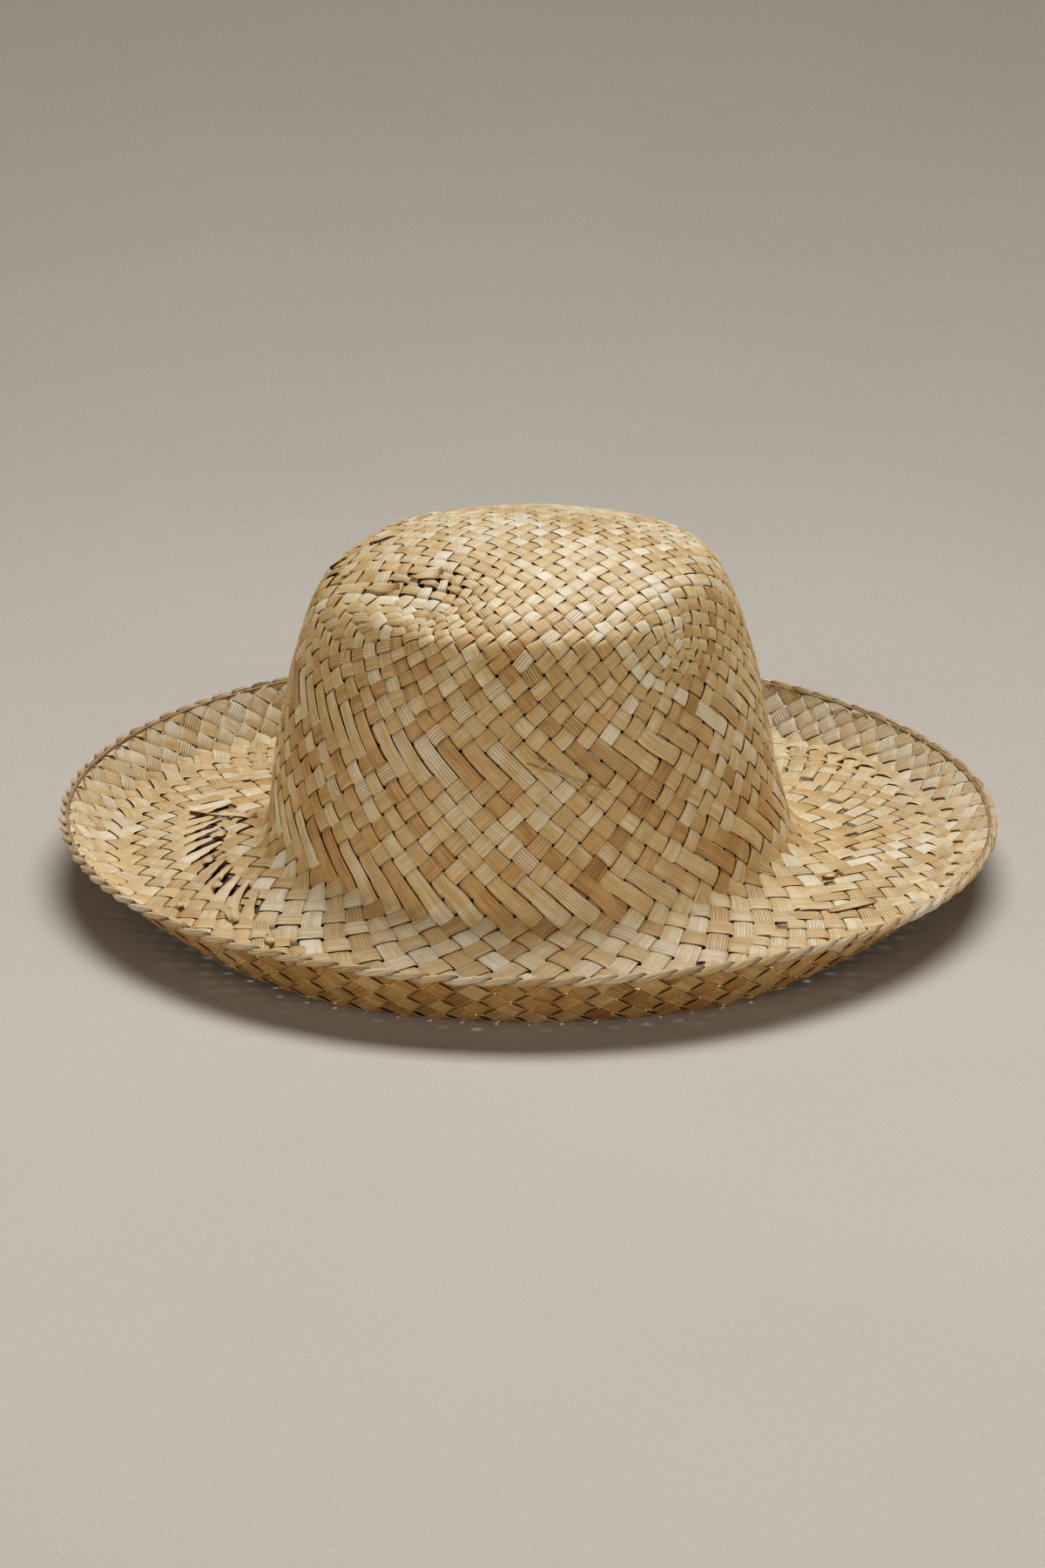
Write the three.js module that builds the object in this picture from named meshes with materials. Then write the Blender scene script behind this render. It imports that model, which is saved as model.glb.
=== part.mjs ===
// Palm straw hat: a plaited crown, a brim that turns up at its rim, and a twisted edge round it.
// Millimetres, +Z up. The hat stands on its brim at z = 0, its front faces -Y, and +X is to the right.
import * as THREE from 'three';

// Driving dimensions
const WALL = 1.6;
const PIECE_GAP = 0.3;
const EDGE_RADIUS = 1.6;
const EDGE_LOBE = 0.35;
const EDGE_TWISTS = 52;
const WALL_LEAN = -1.6;
const TOP_SHIFT = 2.7;
const LEFT_RIM_LIFT = 2.9;

// Steps of the faceted surfaces
const AZIMUTH_STEPS = 60;
const CROWN_RINGS = 17;
const BRIM_RINGS = 14;
const EDGE_STEPS_PER_TWIST = 6;
const EDGE_SIDES = 6;

// The profile at mid wall, from the middle of the top to the rim: radius and height above the floor.
// The sides have a round shoulder. The front has a crease there, and front and back dip to the floor.
const PROFILE = [
  { row: 'centre', side: [0, 122.0], front: [0, 122.0], back: [0, 122.0] },
  { row: 'top', side: [28, 120.2], front: [28, 118.8], back: [28, 119.8] },
  { row: 'top_edge', side: [54, 114.6], front: [54.2, 109.6], back: [54, 114.0] },
  { row: 'high_shoulder', side: [62.6, 110.8], front: [65.2, 103.8], back: [62.6, 110.2] },
  { row: 'shoulder', side: [69.0, 104.3], front: [70.5, 100.2], back: [69.0, 104.0] },
  { row: 'low_shoulder', side: [73.4, 95.6], front: [72.6, 95.6], back: [73.4, 95.6] },
  { row: 'upper_wall', side: [77.3, 84], front: [76.2, 84.6], back: [77.3, 84] },
  { row: 'high_wall', side: [81.6, 69], front: [81.0, 69], back: [81.6, 69] },
  { row: 'middle_wall', side: [85.8, 49], front: [85.6, 49], back: [85.8, 49] },
  { row: 'low_wall', side: [89.4, 29], front: [89.4, 29], back: [89.4, 29] },
  { row: 'base', side: [92.2, 16.2], front: [92.2, 16.2], back: [92.2, 16.2] },
  { row: 'seam', side: [94.8, 12.2], front: [94.8, 12.0], back: [94.8, 12.0] },
  { row: 'root', side: [99.0, 10.6], front: [99.0, 9.8], back: [99.0, 9.8] },
  { row: 'inner_brim', side: [110, 9.6], front: [110, 6.6], back: [110, 6.6] },
  { row: 'middle_brim', side: [127, 8.6], front: [127, 3.0], back: [127, 3.0] },
  { row: 'inner_crease', side: [142, 7.8], front: [142, 0.6], back: [142, 0.6] },
  { row: 'outer_crease', side: [148.5, 8.8], front: [148.5, 0.6], back: [148.5, 0.6] },
  { row: 'upturn', side: [156.8, 13.6], front: [157.2, 10.6], back: [156.8, 10.6] },
  { row: 'rim', side: [163.0, 18.6], front: [163.2, 20.6], back: [163.0, 20.6] },
];
const SEAM_ROW = PROFILE.findIndex((entry) => entry.row === 'seam');
const CREASE_ROW = PROFILE.findIndex((entry) => entry.row === 'outer_crease');
const RIM_ROW = PROFILE.length - 1;

// The wall leans to the left between the first two heights, and the top goes back between the others
const LEAN_START = 14;
const LEAN_FULL = 42;
const TOP_SHIFT_START = 100;
const TOP_SHIFT_FULL = 116;

// The front and back share of the profile is whole inside this sine of the azimuth
const END_ARC_SINE = 0.34;

// Dents and folds: where each lies, how far it reaches, and how far it pushes the wall out
const DENTS = [
  { at: 'slumped left shoulder', azimuth: -78, row: 3.1, reachAzimuth: 34, reachRows: 1.5, push: -2.6 },
  { at: 'sunken top left', azimuth: -48, row: 2.6, reachAzimuth: 20, reachRows: 0.9, push: -1.4 },
  { at: 'hollow in the top', azimuth: 20, row: 0.9, reachAzimuth: 60, reachRows: 0.7, push: -0.8 },
  { at: 'fold on the brim', azimuth: 118, row: 14.2, reachAzimuth: 9, reachRows: 0.9, push: 2.2 },
  { at: 'left brim swell', azimuth: -84, row: 13.9, reachAzimuth: 16, reachRows: 0.6, push: 1.4 },
  { at: 'right brim swell', azimuth: 72, row: 13.9, reachAzimuth: 14, reachRows: 0.6, push: 1.2 },
];

const STRAW = { crown: 0xc6a874, brim: 0xbf9f6c, edge: 0xa98a58, roughness: 0.72 };

const radians = THREE.MathUtils.degToRad;

// A smooth run through the profile's rows for one column, at a fractional row
function columnAt(column, row) {
  const last = PROFILE.length - 1;
  const index = Math.min(Math.floor(row), last - 1);
  const along = row - index;
  const point = (k) => PROFILE[THREE.MathUtils.clamp(k, 0, last)][column];
  const [before, from, to, after] = [index - 1, index, index + 1, index + 2].map(point);
  const blend = (axis) => {
    const slopeFrom = (to[axis] - before[axis]) / 2;
    const slopeTo = (after[axis] - from[axis]) / 2;
    const rise = from[axis] - to[axis];
    const cubic = 2 * rise + slopeFrom + slopeTo;
    const square = -3 * rise - 2 * slopeFrom - slopeTo;
    return ((cubic * along + square) * along + slopeFrom) * along + from[axis];
  };
  return [blend(0), blend(1)];
}

// Radius and height at a row and azimuth, with the front and back shares blended in
function profileAt(row, azimuth) {
  const ends = 1 - THREE.MathUtils.smoothstep(Math.abs(Math.sin(azimuth)), END_ARC_SINE, 1);
  const side = columnAt('side', row);
  const end = columnAt(Math.cos(azimuth) > 0 ? 'front' : 'back', row);
  return [0, 1].map((axis) => side[axis] * (1 - ends) + end[axis] * ends);
}

// How far the dents push the wall out at a row and azimuth
function dentPush(row, azimuth) {
  return DENTS.reduce((sum, dent) => {
    const turn = Math.atan2(Math.sin(azimuth - radians(dent.azimuth)), Math.cos(azimuth - radians(dent.azimuth)));
    const across = turn / radians(dent.reachAzimuth);
    const along = (row - dent.row) / dent.reachRows;
    return sum + dent.push * Math.exp(-across * across - along * along);
  }, 0);
}

// A point at mid wall. Azimuth 0 is the front, and a quarter turn is +X
function midWall(row, azimuth) {
  const step = 0.02;
  const [radius, height] = profileAt(row, azimuth);
  const [radiusBefore, heightBefore] = profileAt(Math.max(row - step, 0), azimuth);
  const [radiusAfter, heightAfter] = profileAt(Math.min(row + step, RIM_ROW), azimuth);
  const run = Math.hypot(radiusAfter - radiusBefore, heightAfter - heightBefore);
  const push = dentPush(row, azimuth);
  const out = radius + push * (heightBefore - heightAfter) / run;
  const up = height + push * (radiusAfter - radiusBefore) / run;
  const lean = WALL_LEAN * THREE.MathUtils.smoothstep(height, LEAN_START, LEAN_FULL)
    + TOP_SHIFT * THREE.MathUtils.smoothstep(height, TOP_SHIFT_START, TOP_SHIFT_FULL);
  const leftness = Math.max(-Math.sin(azimuth), 0);
  const rimShare = THREE.MathUtils.smoothstep(row, CREASE_ROW, RIM_ROW);
  const lift = LEFT_RIM_LIFT * leftness * leftness * rimShare;
  return new THREE.Vector3(out * Math.sin(azimuth) + lean, -out * Math.cos(azimuth), up + lift);
}

// The directions along the profile towards the rim, and out of the wall
function wallDirections(row, azimuth) {
  const step = 0.02;
  const turn = 0.01;
  if (row < step) return { along: new THREE.Vector3(1, 0, 0), out: new THREE.Vector3(0, 0, 1) };
  const along = midWall(Math.min(row + step, RIM_ROW), azimuth).sub(midWall(row - step, azimuth)).normalize();
  const round = midWall(row, azimuth + turn).sub(midWall(row, azimuth - turn)).normalize();
  return { along, out: new THREE.Vector3().crossVectors(along, round).normalize() };
}

// Collects shared vertices and triangles of one closed body
class ClosedBody {
  constructor() {
    this.positions = [];
    this.triangles = [];
  }

  addRing(points) {
    const first = this.positions.length / 3;
    points.forEach((point) => this.positions.push(point.x, point.y, point.z));
    return { first, count: points.length };
  }

  // Joins two rings of equal count, or a ring and a single point
  join(from, to) {
    const steps = Math.max(from.count, to.count);
    const at = (ring, k) => ring.first + (k % ring.count);
    for (let k = 0; k < steps; k += 1) {
      if (from.count > 1) this.triangles.push(at(from, k), at(to, k), at(from, k + 1));
      if (to.count > 1) this.triangles.push(at(from, k + 1), at(to, k), at(to, k + 1));
    }
  }

  geometry() {
    const geometry = new THREE.BufferGeometry();
    geometry.setAttribute('position', new THREE.Float32BufferAttribute(this.positions, 3));
    geometry.setIndex(this.triangles);
    geometry.computeVertexNormals();
    return geometry;
  }
}

// One ring of the wall's outer face (side = 1) or inner face (side = -1), never below the floor
function wallRing(row, side) {
  const steps = row === 0 ? 1 : AZIMUTH_STEPS;
  return Array.from({ length: steps }, (_, k) => {
    const azimuth = (2 * Math.PI * k) / AZIMUTH_STEPS;
    const point = midWall(row, azimuth).addScaledVector(wallDirections(row, azimuth).out, (side * WALL) / 2);
    point.z = Math.max(point.z, 0);
    return point;
  });
}

// A wall between two rows: its outer face, its inner face, and the edges that close them
function wallGeometry(fromRow, toRow, rings) {
  const body = new ClosedBody();
  const rows = Array.from({ length: rings + 1 }, (_, k) => fromRow + ((toRow - fromRow) * k) / rings);
  const outer = rows.map((row) => body.addRing(wallRing(row, 1)));
  const inner = rows.map((row) => body.addRing(wallRing(row, -1)));
  for (let k = 0; k < rings; k += 1) {
    body.join(outer[k], outer[k + 1]);
    body.join(inner[k + 1], inner[k]);
  }
  body.join(outer[rings], inner[rings]);
  if (outer[0].count > 1) body.join(inner[0], outer[0]);
  return body.geometry();
}

// Half the seam's gap, as a share of a row
function seamStep() {
  const share = 0.01;
  const run = midWall(SEAM_ROW + share, 0).distanceTo(midWall(SEAM_ROW - share, 0)) / (2 * share);
  return PIECE_GAP / 2 / run;
}

function crownGeometry() {
  return wallGeometry(0, SEAM_ROW - seamStep(), CROWN_RINGS);
}

function brimGeometry() {
  return wallGeometry(SEAM_ROW + seamStep(), RIM_ROW, BRIM_RINGS);
}

// The twisted edge: a two-lobed section that turns as it runs round the rim
function edgeGeometry() {
  const body = new ClosedBody();
  const steps = EDGE_TWISTS * EDGE_STEPS_PER_TWIST;
  const reach = PIECE_GAP + EDGE_RADIUS + EDGE_LOBE;
  const rings = Array.from({ length: steps }, (_, k) => {
    const azimuth = (2 * Math.PI * k) / steps;
    const { along, out } = wallDirections(RIM_ROW, azimuth);
    const centre = midWall(RIM_ROW, azimuth).addScaledVector(along, reach);
    const twist = (2 * Math.PI * k) / EDGE_STEPS_PER_TWIST;
    const section = Array.from({ length: EDGE_SIDES }, (_unused, side) => {
      const angle = (2 * Math.PI * side) / EDGE_SIDES;
      const radius = EDGE_RADIUS + EDGE_LOBE * Math.cos(2 * angle - twist);
      return centre.clone()
        .addScaledVector(along, radius * Math.cos(angle))
        .addScaledVector(out, radius * Math.sin(angle));
    });
    return body.addRing(section);
  });
  rings.forEach((ring, k) => body.join(ring, rings[(k + 1) % steps]));
  return body.geometry();
}

function strawMesh(name, geometry, color) {
  const material = new THREE.MeshStandardMaterial({ color, roughness: STRAW.roughness, metalness: 0 });
  const mesh = new THREE.Mesh(geometry, material);
  mesh.name = name;
  return mesh;
}

const hat = new THREE.Group();
hat.add(strawMesh('crown', crownGeometry(), STRAW.crown));
hat.add(strawMesh('brim', brimGeometry(), STRAW.brim));
hat.add(strawMesh('edge_braid', edgeGeometry(), STRAW.edge));

export default hat;
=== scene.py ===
"""A palm straw hat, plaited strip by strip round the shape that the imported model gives."""
import math

import bpy
import numpy as np
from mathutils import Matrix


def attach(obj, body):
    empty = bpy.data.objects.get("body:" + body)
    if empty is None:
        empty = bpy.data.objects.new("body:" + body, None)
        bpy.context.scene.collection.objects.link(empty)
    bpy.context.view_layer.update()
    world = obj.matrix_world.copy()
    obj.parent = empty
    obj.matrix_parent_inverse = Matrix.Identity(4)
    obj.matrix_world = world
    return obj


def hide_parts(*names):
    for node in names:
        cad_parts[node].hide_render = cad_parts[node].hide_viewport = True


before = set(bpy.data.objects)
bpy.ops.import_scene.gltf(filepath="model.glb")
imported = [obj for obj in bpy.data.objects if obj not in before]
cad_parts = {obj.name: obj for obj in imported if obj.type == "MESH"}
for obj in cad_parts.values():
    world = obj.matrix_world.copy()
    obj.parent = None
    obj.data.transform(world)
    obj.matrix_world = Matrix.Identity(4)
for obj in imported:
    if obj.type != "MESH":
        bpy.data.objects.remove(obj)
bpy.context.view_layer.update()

bl_info = {
    "name": "Palm Straw Hat",
    "version": (1, 0, 0),
    "blender": (4, 5, 0),
    "location": "3D View > Sidebar > Straw Hat",
    "description": "Plaits a palm straw hat's crown and brim and ties its twisted edge",
    "category": "Add Mesh",
}

MM = 0.001
BODY = "root"

# The profile at mid wall in mm, from the middle of the top to the rim.
# The sides have a round shoulder. The front has a crease there, and front and back dip to the floor.
# Columns: row, then radius and height at the sides, at the front and at the back.
PROFILE = (
    ("centre", 0.0, 122.0, 0.0, 122.0, 0.0, 122.0),
    ("top", 28.0, 120.2, 28.0, 118.8, 28.0, 119.8),
    ("top_edge", 54.0, 114.6, 54.2, 109.6, 54.0, 114.0),
    ("high_shoulder", 62.6, 110.8, 65.2, 103.8, 62.6, 110.2),
    ("shoulder", 69.0, 104.3, 70.5, 100.2, 69.0, 104.0),
    ("low_shoulder", 73.4, 95.6, 72.6, 95.6, 73.4, 95.6),
    ("upper_wall", 77.3, 84.0, 76.2, 84.6, 77.3, 84.0),
    ("high_wall", 81.6, 69.0, 81.0, 69.0, 81.6, 69.0),
    ("middle_wall", 85.8, 49.0, 85.6, 49.0, 85.8, 49.0),
    ("low_wall", 89.4, 29.0, 89.4, 29.0, 89.4, 29.0),
    ("base", 92.2, 16.2, 92.2, 16.2, 92.2, 16.2),
    ("seam", 94.8, 12.2, 94.8, 12.0, 94.8, 12.0),
    ("root", 99.0, 10.6, 99.0, 9.8, 99.0, 9.8),
    ("inner_brim", 110.0, 9.6, 110.0, 6.6, 110.0, 6.6),
    ("middle_brim", 127.0, 8.6, 127.0, 3.0, 127.0, 3.0),
    ("inner_crease", 142.0, 7.8, 142.0, 0.6, 142.0, 0.6),
    ("outer_crease", 148.5, 8.8, 148.5, 0.6, 148.5, 0.6),
    ("upturn", 156.8, 13.6, 157.2, 10.6, 156.8, 10.6),
    ("rim", 163.0, 18.6, 163.2, 20.6, 163.0, 20.6),
)
ROW = {entry[0]: index for index, entry in enumerate(PROFILE)}
RIM_ROW = len(PROFILE) - 1
SIDE, FRONT, BACK = (np.array([entry[k:k + 2] for entry in PROFILE]) for k in (1, 3, 5))

# The front and back shares of the profile are whole inside this sine of the azimuth
END_ARC_SINE = 0.34
# The wall leans to the left and the top is shifted to the right, each in mm between two heights in mm
WALL_LEAN_MM = -1.6
WALL_LEAN_HEIGHTS = (14.0, 42.0)
TOP_SHIFT_MM = 2.7
TOP_SHIFT_HEIGHTS = (100.0, 116.0)
LEFT_RIM_LIFT_MM = 2.9

# Dents and folds. Columns: place, azimuth in degrees, row, reach in degrees and in rows, push in mm
DENTS = (
    ("slumped left shoulder", -78.0, 3.1, 34.0, 1.5, -2.6),
    ("sunken top left", -48.0, 2.6, 20.0, 0.9, -1.4),
    ("hollow in the top", 20.0, 0.9, 60.0, 0.7, -0.8),
    ("fold on the brim", 118.0, 14.2, 9.0, 0.9, 2.2),
    ("left brim swell", -84.0, 13.9, 16.0, 0.6, 1.4),
    ("right brim swell", 72.0, 13.9, 14.0, 0.6, 1.2),
)

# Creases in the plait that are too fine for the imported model, in the same columns
CREASES = (
    ("ridge inside the right crease", 88.0, 15.5, 44.0, 0.28, 1.4),
    ("valley outside the right crease", 88.0, 16.15, 44.0, 0.28, -1.0),
    ("ridge inside the left crease", -115.0, 15.5, 34.0, 0.28, 1.3),
    ("valley outside the left crease", -115.0, 16.15, 34.0, 0.28, -1.0),
    ("crumpled fold at the back", 124.0, 15.3, 9.0, 0.4, 2.2),
    ("dip beside the fold", 118.0, 14.5, 9.0, 0.4, -1.2),
    ("sag at the left of the top", -100.0, 3.7, 12.0, 0.5, -1.0),
)

# Where strips have shrunk or sprung. Columns: place, azimuth in degrees, row, reach in degrees and in rows,
# share of the width lost, lift in mm
FLAWS = (
    ("slits at the left shoulder", -94.0, 3.7, 9.0, 0.45, 0.62, 0.8),
    ("slit above them", -103.0, 4.3, 6.0, 0.4, 0.5, 0.5),
    ("sprung strips on the top", -38.0, 1.75, 12.0, 0.3, 0.45, 0.9),
    ("gap beside them", -52.0, 2.05, 8.0, 0.3, 0.45, 0.5),
    ("gap at the back of the top", -122.0, 2.4, 9.0, 0.3, 0.5, 0.7),
    ("second gap at the back", -136.0, 2.1, 7.0, 0.25, 0.4, 0.5),
    ("open plait on the left brim", -95.0, 12.6, 7.0, 0.5, 0.4, 0.8),
)

# Strips that have sprung off the plait. Columns: place, wall, azimuth and row where each starts and ends,
# width and rise in mm, and the roll of its ends in degrees
SPRUNG = (
    ("crumpled strip on the top", "crown", -63.8, 3.16, -50.8, 2.25, 4.2, 0.5, 55.0),
    ("curled end beside it", "crown", -51.7, 1.90, -41.5, 1.62, 4.8, 0.9, 70.0),
    ("strip over the shoulder's slit", "crown", -100.0, 4.15, -104.0, 3.45, 4.8, 0.8, 35.0),
    ("small knot", "crown", -81.5, 3.50, -79.0, 3.12, 2.6, 0.4, 100.0),
    ("strip over the top's slit", "crown", -97.0, 2.20, -103.5, 1.69, 4.8, 0.5, 40.0),
    ("torn fibre on the wall", "crown", 0.5, 7.25, 19.5, 7.75, 0.6, 0.5, 20.0),
    ("second torn fibre", "crown", 3.0, 7.15, 16.0, 7.9, 0.4, 0.9, 20.0),
    ("long strip over the left gap", "brim", -96.8, 13.75, -95.0, 11.75, 3.6, 0.9, 95.0),
    ("first curled tip", "brim", -87.0, 12.80, -83.5, 13.12, 3.2, 0.9, 130.0),
    ("second curled tip", "brim", -75.0, 13.25, -71.5, 13.52, 3.0, 0.9, 130.0),
    ("third curled tip", "brim", -64.5, 13.45, -61.5, 13.72, 3.8, 0.8, 95.0),
    ("fourth curled tip", "brim", -61.0, 14.48, -58.8, 14.70, 3.0, 0.8, 100.0),
    ("fifth curled tip", "brim", -43.2, 14.00, -40.8, 14.20, 3.0, 0.8, 120.0),
    ("folded end at the front left", "brim", -54.5, 13.80, -50.0, 14.10, 4.4, 1.1, 30.0),
    ("tip at the right", "brim", 64.3, 13.12, 66.3, 13.36, 2.6, 0.7, 110.0),
    ("pale strip at the right", "brim", 53.5, 13.90, 61.3, 14.44, 4.0, 0.5, 12.0),
)

# How the plait is counted out. A float ring is one where strips lie over or under three others.
TOP_SIDE = 15
CROWN_STRIPS = 4 * TOP_SIDE
FOLD_ROW = ROW["high_shoulder"] + 0.2
LOOSE_RINGS = 6
CROWN_FLOAT_RINGS = (11, 21)
CROWN_LAST_RING = 29
BRIM_STRIPS = 88
BRIM_START_ROW = ROW["inner_brim"] - 0.02
BRIM_FLOAT_RINGS = (0, 2)
# Where the plait has opened, the strips that wind the other way start at this ring
BRIM_LATE_RING = 3
BRIM_LAST_RING = 15
# Where the outer strips are cut off, under the twisted edge
TIP_ROW = RIM_ROW - 0.02
# Rings lie closer together between these rows, by this share of a square cell
CLOSE_ROWS = (14.8, 16.0)
CLOSE_SHARE = 0.82

# The ring where the crown's strips dive under the outer ones, which is earlier where the plait has opened
DIVE_RING = 29
OPENED_DIVE_RING = 28
# How far past that ring's start, in rows, the outer strips stay under the crown's ones
COVER_MARGIN = 0.06
# How far the crown's strips go down there, and how far the outer strips lie below them before it, in mm
DIVE_MM = -1.3
UNDER_MM = -1.4
# The left of the brim, in degrees of azimuth, where the outer strips' ends have come out
LEFT_FROM, LEFT_TO = -106.0, -54.0
# How many twists the edge has round the rim
EDGE_TWISTS = 104

# The crossings on the top are first eased to the middle of their neighbours
RELAX_STEPS = 320
# Then they are drawn to an even spacing, in mm, by these shares of the pull and of the mean
EVEN_STEPS = 160
EVEN_SPACING = 5.0
EVEN_PULL_SHARE = 0.12
EVEN_MEAN_SHARE = 0.2

# How finely the round walls are measured
TURN_STEPS = 181
# Seeds for how the strips stray, and for the stretch of leaf that each is cut from
CROWN_SEED, BRIM_SEED, EDGE_SEED, FIBRE_SEED = 11, 23, 37, 5
CROWN_LEAF_SEED, LEFT_LEAF_SEED, RIGHT_LEAF_SEED = 60, 71, 72
# Places of the steps between two crossings, and how far the strip has gone over to the next one there
CELL_STEPS = (0.0, 0.28, 0.42, 0.57, 0.72)
CELL_SHARES = (0.0, 0.01, 0.12, 0.88, 0.99)
STEPS_PER_CELL = len(CELL_STEPS)
# A strip's section, as shares of its width and thickness, clockwise from the left of its face
SECTION = (
    (-0.50, -0.10), (-0.21, 0.75), (0.21, 0.75), (0.50, -0.10),
    (0.50, -0.60), (0.21, 0.15), (-0.21, 0.15), (-0.50, -0.60),
)
# The least heights of the plait's middle, of any strip's middle and of any point, so that the lowest strips
# lie flat on the table
LOWEST_MIDDLE_MM = 0.65
LOWEST_HIDDEN_MM = 0.3
FLOOR_GAP_MM = 0.05
# Painted shade darkens strips that lie this deep in mm, from none to all of it
HOLLOW_DEPTHS_MM = (0.35, 1.1)
# Each strip is cut from its own place on a sheet of leaf this long and wide, in mm
LEAF_SHEET_MM = 4000.0
# What darkens the leaf along its veins, the colour of the painted shade where strips lie deep, and the
# colour output of a mix
VEIN_COLOUR = "#9A7040"
PAINTED_SHADE_COLOUR = "#5E4A34"
MIXED_COLOUR = 2
# Tints run from 0, pale, to 1, ripe brown. Every strip's underside is darker by this much tint, a painted
# shade that shows most on the brim's outer face, which faces the floor.
UNDERSIDE_SHADE_TINT = 0.5
# The crown's strips are paler by these shares above these heights in mm, a painted sheen on the top, and on
# these rows of the brim, painted light on the inner brim
SHEEN_HEIGHTS_MM = (92.0, 112.0)
PAINTED_SHEEN_TINT = -0.16
BRIM_PAINTED_LIGHT_ROWS = (11.0, 12.6)
BRIM_PAINTED_LIGHT_SHARE = 0.2
# Where the top has its painted sheen or on the brim, the plait is flatter by this share
FLATTER_SHARE = 0.25
# The outer strips are paler and flatter, and palest on the band that turns up, which is painted light
OUTER_TINT_SHARE = 0.8
OUTER_RELIEF_SHARE = 0.85
BAND_ROWS = (15.8, 16.8)
BAND_PAINTED_LIGHT_TINT = -0.14

# Soft boxes. Columns: name, place and aim in metres, width and height in metres, the setting for the power
# and the share of it, colour, and the beam's spread in degrees, where 82 has a grid on the box
WHITE, WARM = (1.0, 0.99, 0.975), (1.0, 0.95, 0.87)
SOFT_BOXES = (
    ("overhead", (0.2, 0.85, 2.2), (0.0, -0.45, 0.0), (1.9, 1.1), "key_power", 1.0, WHITE, 82.0),
    ("left_fill", (-1.3, -1.2, 0.34), (0.0, 0.0, 0.05), (1.2, 0.4), "fill_power", 0.52, WARM, 180.0),
    ("right_fill", (1.3, -1.2, 0.34), (0.0, 0.0, 0.05), (1.2, 0.4), "fill_power", 0.48, WARM, 180.0),
)


class StrawHatShape(bpy.types.PropertyGroup):
    """Sizes of the strips, the edge and the loose fibres."""

    strip_width: bpy.props.FloatProperty(
        name="Strip width", description="Widest that a leaf strip gets", default=7.4 * MM,
        subtype="DISTANCE", unit="LENGTH")
    strip_thickness: bpy.props.FloatProperty(
        name="Strip thickness", description="Thickness of a leaf strip", default=0.3 * MM,
        subtype="DISTANCE", unit="LENGTH")
    relief: bpy.props.FloatProperty(
        name="Relief", description="How far a strip rises over the strip it crosses", default=0.5 * MM,
        subtype="DISTANCE", unit="LENGTH")
    tightness: bpy.props.FloatProperty(
        name="Tightness", description="Share of a cell that its strip fills", default=0.87,
        subtype="FACTOR")
    unevenness: bpy.props.FloatProperty(
        name="Unevenness", description="How far crossings stray from their even places",
        default=0.22 * MM, subtype="DISTANCE", unit="LENGTH")
    edge_thickness: bpy.props.FloatProperty(
        name="Edge thickness", description="Thickness of one twist of the edge", default=2.8 * MM,
        subtype="DISTANCE", unit="LENGTH")
    fibre_thickness: bpy.props.FloatProperty(
        name="Fibre thickness", description="Thickness of a loose fibre", default=0.16 * MM,
        subtype="DISTANCE", unit="LENGTH")
    loose_fibres: bpy.props.IntProperty(
        name="Loose fibres", description="How many fibres have worked loose", default=46)


class StrawHatColours(bpy.types.PropertyGroup):
    """Colours as sRGB hex values."""

    pale: bpy.props.StringProperty(
        name="Pale leaf", description="Bleached young leaf", default="#DCD3BC")
    straw: bpy.props.StringProperty(
        name="Straw", description="Most of the strips", default="#C9AE7D")
    tan: bpy.props.StringProperty(
        name="Tan", description="Riper strips", default="#B9945E")
    brown: bpy.props.StringProperty(
        name="Brown", description="The ripest strips and the backs of folds", default="#966C3C")
    edge: bpy.props.StringProperty(
        name="Edge", description="Twisted strand ends", default="#D0B88F")
    edge_dark: bpy.props.StringProperty(
        name="Edge, dark", description="Creases between the twists", default="#8E6A3E")
    floor: bpy.props.StringProperty(
        name="Floor", description="Pale paper under the hat", default="#BBB5AC")


class StrawHatStage(bpy.types.PropertyGroup):
    """The camera, the lights and the floor."""

    camera_elevation: bpy.props.FloatProperty(
        name="Camera elevation", description="Angle of the view above the floor",
        default=math.radians(20.0), subtype="ANGLE", unit="ROTATION")
    camera_distance: bpy.props.FloatProperty(
        name="Camera distance", description="From the aim to the camera", default=1.3,
        subtype="DISTANCE", unit="LENGTH")
    lens: bpy.props.FloatProperty(
        name="Lens", description="Focal length on a 36 mm frame, in mm", default=84.24)
    key_power: bpy.props.FloatProperty(
        name="Key light", description="Power of the soft box behind and above, in watts", default=15.0)
    fill_power: bpy.props.FloatProperty(
        name="Fill light", description="Power of the soft light at the front, in watts", default=19.5)
    room_light: bpy.props.FloatProperty(
        name="Room light", description="Strength of the light from all round", default=0.03)


def smoothstep(value, low, high):
    """Nothing below the low value, one above the high one, and a soft rise between."""
    share = np.clip((value - low) / (high - low), 0.0, 1.0)
    return share * share * (3.0 - 2.0 * share)


def column_at(column, rows):
    """A smooth run through one column of the profile at fractional rows."""
    index = np.minimum(np.floor(rows).astype(int), RIM_ROW - 1)
    along = (rows - index)[..., None]
    before, start, end, after = (column[np.clip(index + k, 0, RIM_ROW)] for k in (-1, 0, 1, 2))
    slope_start = (end - before) / 2
    slope_end = (after - start) / 2
    rise = start - end
    cubic = 2 * rise + slope_start + slope_end
    square = -3 * rise - 2 * slope_start - slope_end
    return ((cubic * along + square) * along + slope_start) * along + start


def profile_at(rows, azimuths):
    """Radius and height in mm, with the front and back shares blended in."""
    ends = (1 - smoothstep(np.abs(np.sin(azimuths)), END_ARC_SINE, 1.0))[..., None]
    in_front = (np.cos(azimuths) > 0)[..., None]
    end = np.where(in_front, column_at(FRONT, rows), column_at(BACK, rows))
    return column_at(SIDE, rows) * (1 - ends) + end * ends


def nearness(rows, azimuths, azimuth, row, reach, reach_rows):
    """One at the given place, falling to nothing past its reach."""
    turn = azimuths - math.radians(azimuth)
    across = np.arctan2(np.sin(turn), np.cos(turn)) / math.radians(reach)
    along = (rows - row) / reach_rows
    return np.exp(-across * across - along * along)


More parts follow.
